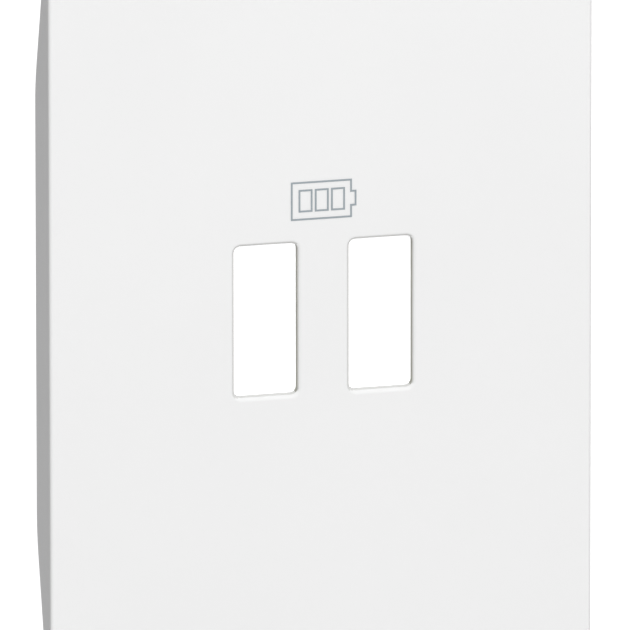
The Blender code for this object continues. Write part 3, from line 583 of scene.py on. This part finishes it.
def make_terminal_screw(node, look):
    """A clamping screw with a flat head and one slot, along -Y."""
    low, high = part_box(node)
    radius = (high.x - low.x) / 2
    profile = [(high.y, 0.8 * radius), (high.y - 0.1 * MM, 0.9 * radius), (high.y - 0.35 * MM, radius),
               (CLAMP_NECK + 0.1 * MM, radius), (CLAMP_NECK, 0.96 * radius),
               (CLAMP_NECK - 0.01 * MM, CLAMP_NECK_R), (CLAMP_NECK - 1.2 * MM, CLAMP_NECK_R)]
    ridges = thread(CLAMP_NECK - 1.3 * MM, low.y + 0.4 * MM, *CLAMP_THREAD)
    slot = recess(high.y, -1.0 * MM, 2.4 * radius, 0.7 * MM, spot_of(node), cross=False)
    mesh = screw_mesh(node, profile, ridges, (low.y, 0.9 * MM), slot)
    show(f"{node}_threaded", mesh, node, look, "terminal_steel", node)


def make_screws(looks):
    for end in ("top", "bottom"):
        make_wall_screw(f"box_screw_{end}", looks["zinc_plated_steel"], **BOX_THREAD)
    for side in ("left", "right"):
        make_wall_screw(f"frame_screw_{side}", looks["zinc_plated_steel"], **FRAME_THREAD)
    for index in range(1, 5):
        make_case_screw(f"housing_screw_{index}", looks["zinc_plated_steel"])
    for side in ("left", "right"):
        make_terminal_screw(f"terminal_screw_{side}", looks["terminal_steel"])


PIVOT_X, FLAP_LEG, CARRIER_LEG = 8.0 * MM, 2.0 * MM, 0.9 * MM
COIL_R, WIRE_R, COIL_PITCH, COIL_TURNS, COIL_STEPS = 0.75 * MM, 0.1 * MM, 0.36 * MM, 3, 24


def spring_path():
    """The right spring's line from its upper end: a leg on the flap, the coil, a leg in the carrier."""
    path = [Vector((-FLAP_LEG * (1 - i / 5), COIL_R, 0)) for i in range(5)]
    for step in range(COIL_TURNS * COIL_STEPS + 1):
        angle = pi / 2 - 2 * pi * step / COIL_STEPS
        path.append(Vector((COIL_R * cos(angle), COIL_R * sin(angle), -COIL_PITCH * step / COIL_STEPS)))
    return path + [path[-1] + Vector((CARRIER_LEG * i / 3, 0, 0)) for i in (1, 2, 3)]


def make_springs(looks):
    """Torsion springs round the shutters' lower pivots."""
    for side, label in ((-1, "left"), (1, "right")):
        node = f"shutter_spring_{label}"
        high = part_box(node)[1]
        axis_y, top = high.y - COIL_R - WIRE_R, high.z - WIRE_R
        path = [Vector((side * (PIVOT_X + p.x), axis_y + p.y, top + p.z)) for p in spring_path()]
        show(f"{node}_wound", swept(node, path, WIRE_R), "base", looks["spring_steel"], "spring_steel", node)


# ---------------------------------------------------------------- circuit components

DIMPLE_INSET, DIMPLE_R, DIMPLE_DEPTH = 0.8 * MM, 0.3 * MM, 0.15 * MM
CHAMFER = 0.8 * MM
HEADER_PINS, HEADER_PITCH, NOTCH = 6, 2.2 * MM, 0.3 * MM
CAP_LENGTH, CAP_OVER, TUBE_INSET, TUBE_UNDER = 1.9 * MM, 0.06 * MM, 0.1 * MM, 0.05 * MM
CAN_STEPS, GROOVE, LID_INSET, SCORE_DEPTH = 40, 0.25 * MM, 0.75 * MM, 0.06 * MM
WAIST, CHOKE_TURNS, TURN_STEPS = 0.66, 9, 24
JOINT_W, JOINT_DEPTH, BEYOND = 0.08 * MM, 0.12 * MM, 40 * MM
FINGER_Z, FINGER_HALF, FINGER_CUT, FINGER_END = 2.6 * MM, 0.9 * MM, 0.2 * MM, 0.25 * MM
FINGER_FROM, FINGER_TO = 2.6 * MM, 3.0 * MM   # from the shell's front and from its back


def make_controller(looks):
    """The controller has a dimple at its first pin."""
    low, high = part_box("controller_chip")
    dot = circle((low.x + DIMPLE_INSET, high.z - DIMPLE_INSET), DIMPLE_R)
    dimple = stacked("dimple", [(low.y - MM, dot), (low.y + DIMPLE_DEPTH, dot)])
    show("controller_chip_marked", carved(refined("controller_chip", 0.1 * MM), dimple), "base",
         looks["black_block"], "black_block", "controller_chip")


def make_rectifier(looks):
    """The rectifier has a chamfer at its positive end."""
    low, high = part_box("bridge_rectifier")
    x, z = low.x, high.z
    outline = [(x - MM, z + MM), (x - MM, z - CHAMFER), (x, z - CHAMFER), (x + CHAMFER, z),
               (x + CHAMFER, z + MM)]
    wedge = stacked("wedge", [(y, outline) for y in (low.y - MM, high.y + MM)])
    show("bridge_rectifier_marked", carved(refined("bridge_rectifier", 0.1 * MM), wedge), "base",
         looks["black_block"], "black_block", "bridge_rectifier")


def make_header(looks):
    """The strip between the boards is notched between its pins."""
    low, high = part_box("board_header")
    cutters = []
    for i in range(1, HEADER_PINS):
        x = (i - HEADER_PINS / 2) * HEADER_PITCH
        for z in (low.z, high.z):
            notch = [(x - NOTCH, z), (x, z - NOTCH), (x + NOTCH, z), (x, z + NOTCH)]
            cutters.append(stacked("notch", [(low.y - MM, notch), (high.y + MM, notch)]))
    show("board_header_notched", carved(refined("board_header", 0.05 * MM), *cutters), "base",
         looks["black_block"], "black_block", "board_header")


def make_fuse(looks):
    """A ceramic tube between two pressed metal caps."""
    low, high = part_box("fuse")
    radius = (high.z - low.z) / 2
    y, z = (low.y + high.y) / 2, (low.z + high.z) / 2

    def rod(name, start, end, thick):
        return swept(name, [Vector((x, y, z)) for x in (start, end)], thick, 32)

    caps = [rod("cap", low.x, low.x + CAP_LENGTH, radius + CAP_OVER),
            rod("cap", high.x, high.x - CAP_LENGTH, radius + CAP_OVER)]
    show("fuse_caps", joined("fuse_caps", caps), "base", looks["nickel_shell"], "nickel_shell")
    show("fuse_tube", rod("fuse", low.x + TUBE_INSET, high.x - TUBE_INSET, radius - TUBE_UNDER), "base",
         looks["white_insulator"], "white_insulator", "fuse")


def can_profile(top, end, radius):
    """A can's sleeve: turned in over the lid, with a rolled groove near its foot."""
    rim = [(top + 0.2 * MM, 0.3 * radius), (top + 0.2 * MM, radius - 0.7 * MM),
           (top, radius - 0.6 * MM), (top, radius - 0.35 * MM), (top + 0.1 * MM, radius - 0.1 * MM),
           (top + 0.35 * MM, radius)]
    groove = [(end - 1.7 * MM, radius), (end - 1.45 * MM, radius - GROOVE),
              (end - 1.2 * MM, radius - GROOVE), (end - 0.95 * MM, radius)]
    return rim + groove + [(end - 0.2 * MM, radius), (end, radius - 0.2 * MM)]


def make_capacitors(looks):
    """Each can has a shrunk sleeve and a scored bare top."""
    for node in ("input_capacitor", "output_capacitor_1", "output_capacitor_2"):
        low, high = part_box(node)
        spot, radius, top = spot_of(node), (high.x - low.x) / 2, low.y
        sleeve = [(y, circle(spot, r, CAN_STEPS)) for y, r in can_profile(top, high.y, radius)]
        show(f"{node}_sleeve", stacked(node, sleeve), "base", looks["dark_sleeve"], "dark_sleeve", node)
        lid = circle(spot, radius - LID_INSET, CAN_STEPS)
        disc = stacked("lid", [(top + SCORE_DEPTH, lid), (top + 0.19 * MM, lid)])
        score = [bar(spot, top - MM, top + 2 * SCORE_DEPTH, w * radius, h * radius)
                 for w, h in ((1.1, 0.06), (0.06, 1.1))]
        show(f"{node}_top", carved(disc, *score), "base", looks["terminal_steel"], "terminal_steel")


def make_choke(looks):
    """A drum of ferrite wound with enamelled wire."""
    low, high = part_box("choke")
    spot, radius = spot_of("choke"), (high.x - low.x) / 2
    waist, edge = WAIST * radius, 0.1 * MM
    profile = [(low.y, radius - edge), (low.y + edge, radius), (low.y + 0.9 * MM, radius),
               (low.y + MM, waist), (high.y - 1.1 * MM, waist), (high.y - MM, radius),
               (high.y - edge, radius), (high.y, radius - edge)]
    show("choke_drum", stacked("choke", [(y, circle(spot, r, CAN_STEPS)) for y, r in profile]), "base",
         looks["ferrite"], "ferrite", "choke")
    wire = (high.y - low.y - 2.2 * MM) / CHOKE_TURNS / 2
    coil, start = waist + 0.9 * wire, low.y + 1.1 * MM + wire
    path = []
    for step in range(TURN_STEPS * (CHOKE_TURNS - 1) + 1):
        turn = step / TURN_STEPS
        x, z = coil * cos(2 * pi * turn), coil * sin(2 * pi * turn)
        path.append(Vector((spot[0] + x, start + 2 * wire * turn, spot[1] + z)))
    show("choke_winding", swept("winding", path, 0.98 * wire, 8), "base", looks["copper"], "gold_contact")


def make_transformer(looks):
    """The core's two halves meet at a fine joint line."""
    low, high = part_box("transformer_core")
    x, z = spot_of("transformer_core")
    joint = (low.y + high.y) / 2
    start, end = joint - JOINT_W / 2, joint + JOINT_W / 2
    cutters = [bar((x, edge), start, end, BEYOND, JOINT_DEPTH) for edge in (low.z, high.z)]
    cutters += [bar((edge, z), start, end, JOINT_DEPTH, BEYOND) for edge in (low.x, high.x)]
    show("transformer_core_joined", carved(refined("transformer_core", 0.12 * MM), *cutters), "base",
         looks["ferrite"], "ferrite", "transformer_core")


def make_receptacle_shells(looks):
    """Each shell's two broad walls are cut round two sprung fingers."""
    for label in ("left", "right"):
        node = f"usb_shell_{label}"
        low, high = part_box(node)
        middle, tip, root = (low.z + high.z) / 2, low.y + FINGER_FROM, high.y - FINGER_TO
        cutters = []
        for x in (low.x, high.x):
            for z in (middle - FINGER_Z, middle + FINGER_Z):
                cutters += [bar((x, z + side * FINGER_HALF), tip, root, MM, FINGER_CUT) for side in (-1, 1)]
                cutters.append(bar((x, z), tip, tip + FINGER_END, MM, 2 * FINGER_HALF + 0.1 * MM))
        show(f"{node}_fingered", carved(refined(node, 0.05 * MM), *cutters), "base",
             looks["nickel_shell"], "nickel_shell", node)


# ---------------------------------------------------------------- leads, solder and label

LEG_GAP, LEG_LENGTH, LEG_W, LEG_H = 0.01 * MM, 0.45 * MM, 0.5 * MM, 0.4 * MM
JOINT_PROFILE = [(0.0, 0.75), (0.08, 0.62), (0.2, 0.42), (0.4, 0.3), (0.6, 0.26), (0.75, 0.22)]   # mm
LABEL_W, LABEL_H, LABEL_SPOT, LABEL_CORNER = 17.0 * MM, 6.4 * MM, (0.0, -5.4 * MM), 0.8 * MM
LABEL_GAP, LABEL_T, MARK_GAP, MARK_T = 0.01 * MM, 0.05 * MM, 0.07 * MM, 0.02 * MM
SQUARES, SQUARE_LINE, SQUARE_SPOT = (2.6 * MM, 1.5 * MM), 0.2 * MM, (5.8 * MM, -5.4 * MM)
BARS, BAR_H = (7.5 * MM, 9.0 * MM, 6.0 * MM), 0.35 * MM
BAR_LEFT, BAR_TOP, BAR_PITCH = -7.3 * MM, -3.7 * MM, 1.7 * MM
CARD_CORNER = 0.02 * MM


def lead_spots():
    """Where the components' leads pass through the main board, as (x, z)."""
    def about(node, offsets):
        x, z = spot_of(node)
        return [(x + dx * MM, z + dz * MM) for dx, dz in offsets]

    pair, rows = (-1, 1), range(4)
    spots = about("transformer_core", [(dx * 3.1, dz) for dx in pair for dz in (-2.8, 2.6)])
    spots += about("input_capacitor", [(dx * 1.25, 0) for dx in pair])
    spots += about("output_capacitor_1", [(dx, 0) for dx in pair])
    spots += about("output_capacitor_2", [(dx, 0) for dx in pair])
    spots += about("bridge_rectifier", [(-2.3 + 1.55 * i, 0) for i in rows])
    spots += about("controller_chip", [(dx * 2.3, -1.5 + i) for dx in pair for i in rows])
    spots += about("fuse", [(dx * 3.6, 0) for dx in pair])
    spots += about("safety_capacitor", [(dx * 3.6, 0) for dx in pair])
    spots += about("choke", [(dx * 2.0, 0) for dx in pair])
    x, z = spot_of("board_header")
    return spots + [(x + (i - (HEADER_PINS - 1) / 2) * HEADER_PITCH, z) for i in range(HEADER_PINS)]


def make_leads(looks):
    """Legs in front of the main board, and soldered joints behind it, which the vents show."""
    front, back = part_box("main_board")[0].y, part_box("main_board")[1].y
    steel = looks["terminal_steel"]
    legs = [bar(spot, front - LEG_LENGTH, front - LEG_GAP, LEG_W, LEG_H) for spot in lead_spots()]
    show("component_legs", joined("component_legs", legs), "base", steel, "terminal_steel")
    joints = [stacked("joint", [(back + y * MM, circle(spot, r * MM, 16)) for y, r in JOINT_PROFILE])
              for spot in lead_spots()]
    show("main_board_solder", joined("main_board_solder", joints), "base", steel, "terminal_steel")


def card(name, width, height, spot, front, thick, corner=CARD_CORNER):
    """A thin flat piece on the case's back."""
    outline = rounded(width, height, corner, spot)
    return stacked(name, [(front, outline), (front + thick, outline)])


def make_label(looks):
    """A blank rating label with the general sign for double insulation and plain bars."""
    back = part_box("rear_housing")[1].y
    label = card("rating_label", LABEL_W, LABEL_H, LABEL_SPOT, back + LABEL_GAP, LABEL_T, LABEL_CORNER)
    show("rating_label", label, "base", looks["white_insulator"], "white_insulator")
    marks = []
    for size in SQUARES:
        inner = size - 2 * SQUARE_LINE
        marks.append(carved(card("square", size, size, SQUARE_SPOT, back + MARK_GAP, MARK_T),
                            card("hole", inner, inner, SQUARE_SPOT, back, MM)))
    for row, length in enumerate(BARS):
        spot = BAR_LEFT + length / 2, BAR_TOP - BAR_PITCH * row
        marks.append(card("bar", length, BAR_H, spot, back + MARK_GAP, MARK_T))
    show("rating_label_marks", joined("rating_label_marks", marks), "base", looks["grey_ink"], "grey_ink")


# ---------------------------------------------------------------- cover, housings and the rest

SLOT_MARGIN, SLOT_DEPTH = 0.5 * MM, 0.9 * MM   # how far the slots reach round the receptacles and inwards
REAR_FROM, END_MARGIN = 0.4 * MM, 0.1 * MM     # the cover's edges at its face and ends aren't eased
FLANGE_BACK = -1.5 * MM                        # where the front housing's flange meets the support frame
CASE_CORNER, LIP_INSET, LIP_THICK, LIP_ROOT = 3.0 * MM, 0.35 * MM, 0.5 * MM, 0.2 * MM
EASED = {"support_frame": 0.18 * MM, "front_housing": 0.2 * MM}
EASED_BY_SLOT, EASED_ELSE = {"grey_ink": 0.0, "gold_contact": 0.02 * MM}, 0.08 * MM


def slot_painted_shade(face, front):
    """Which cover material a face takes: 0 outside the slots, 1 side wall, 2 end wall, 3 rim turned away
    from the key light; 1 to 3 are painted shade.
    """
    x, y, z = face.center
    low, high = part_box("usb_shell_right")
    near_x = low.x - SLOT_MARGIN < abs(x) < high.x + SLOT_MARGIN
    near_z = low.z - SLOT_MARGIN < z < high.z + SLOT_MARGIN
    out = -face.normal.y
    if not (near_x and near_z and y < front + SLOT_DEPTH) or out > 0.9 or out < -0.3:
        return 0
    if out < 0.3:
        return 1 if abs(face.normal.x) > 0.7 else 2
    # painted shade on rim faces that turn down or sideways, away from the key light
    rim_in_painted_shade = face.normal.z < -0.35 or face.normal.x > 0.35 or face.normal.x < -0.7
    return 3 if rim_in_painted_shade else 0


def make_cover(looks):
    """The cover's own shape, with its rear edges eased, and painted shade on its slots' inner walls and on
    rims turned away from the key light.
    """
    low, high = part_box("cover_shell")
    rear, end = low.y + REAR_FROM, high.z - END_MARGIN
    mesh = refined("cover_shell", 0.12 * MM, lambda point: point.y > rear and abs(point.z) < end, HAIR)
    for look in ("white_cover", "painted_shade_side", "painted_shade_end", "painted_shade_rim"):
        mesh.materials.append(looks[look].material)
    # painted shade: slot walls and rims take the darker materials
    for face in mesh.polygons:
        face.material_index = slot_painted_shade(face, low.y)
    show("cover_shell_moulded", mesh, "cover", looks["white_cover"], "white_cover", "cover_shell")


def parting_lip():
    """The thin lip on the rear housing's rim that closes its joint with the front housing."""
    low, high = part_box("rear_housing")
    start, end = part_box("front_housing")[1].y + HAIR, low.y + LIP_ROOT

    def block(inset, front, back):
        outline = rounded(high.x - low.x - 2 * inset, high.z - low.z - 2 * inset, CASE_CORNER - inset,
                          spot_of("rear_housing"))
        return stacked("lip", [(front, outline), (back, outline)])

    return carved(block(LIP_INSET, start, end), block(LIP_INSET + LIP_THICK, start - MM, end + MM))


def make_rear_housing(looks):
    """The rear housing, with its back face's edges eased and a lip round its open rim."""
    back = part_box("rear_housing")[1].y - 0.1 * MM
    mesh = carved(refined("rear_housing", 0.25 * MM, lambda point: point.y > back), parting_lip(),
                  operation="UNION")
    show("rear_housing_lipped", mesh, "base", looks["grey_case"], "grey_case", "rear_housing")


def make_rest(looks):
    """Every other node keeps its CAD shape, with its edges eased to suit its material."""
    slots = {part["node"]: part["material_slot"] for part in frame["record"]["subparts"]}
    bodies = {node: body for body, nodes in frame["record"]["behaviour"]["bodies"].items() for node in nodes}
    made = {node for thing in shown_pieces() for node in thing.get("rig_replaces", [])}
    chosen = {"front_housing": lambda point: point.y < FLANGE_BACK}
    for node, slot in slots.items():
        if node not in made:
            width = EASED.get(node, EASED_BY_SLOT.get(slot, EASED_ELSE))
            weld = HAIR if node.startswith("shutter") else SAME_POINT
            mesh = refined(node, width, chosen.get(node), weld)
            show(f"{node}_shown", mesh, bodies[node], looks[slot], slot, node)


make_camera()
make_studio()
looks = make_looks()
make_cover(looks)
make_screws(looks)
make_springs(looks)
make_controller(looks)
make_rectifier(looks)
make_header(looks)
make_fuse(looks)
make_capacitors(looks)
make_choke(looks)
make_transformer(looks)
make_receptacle_shells(looks)
make_leads(looks)
make_label(looks)
make_rear_housing(looks)
make_rest(looks)
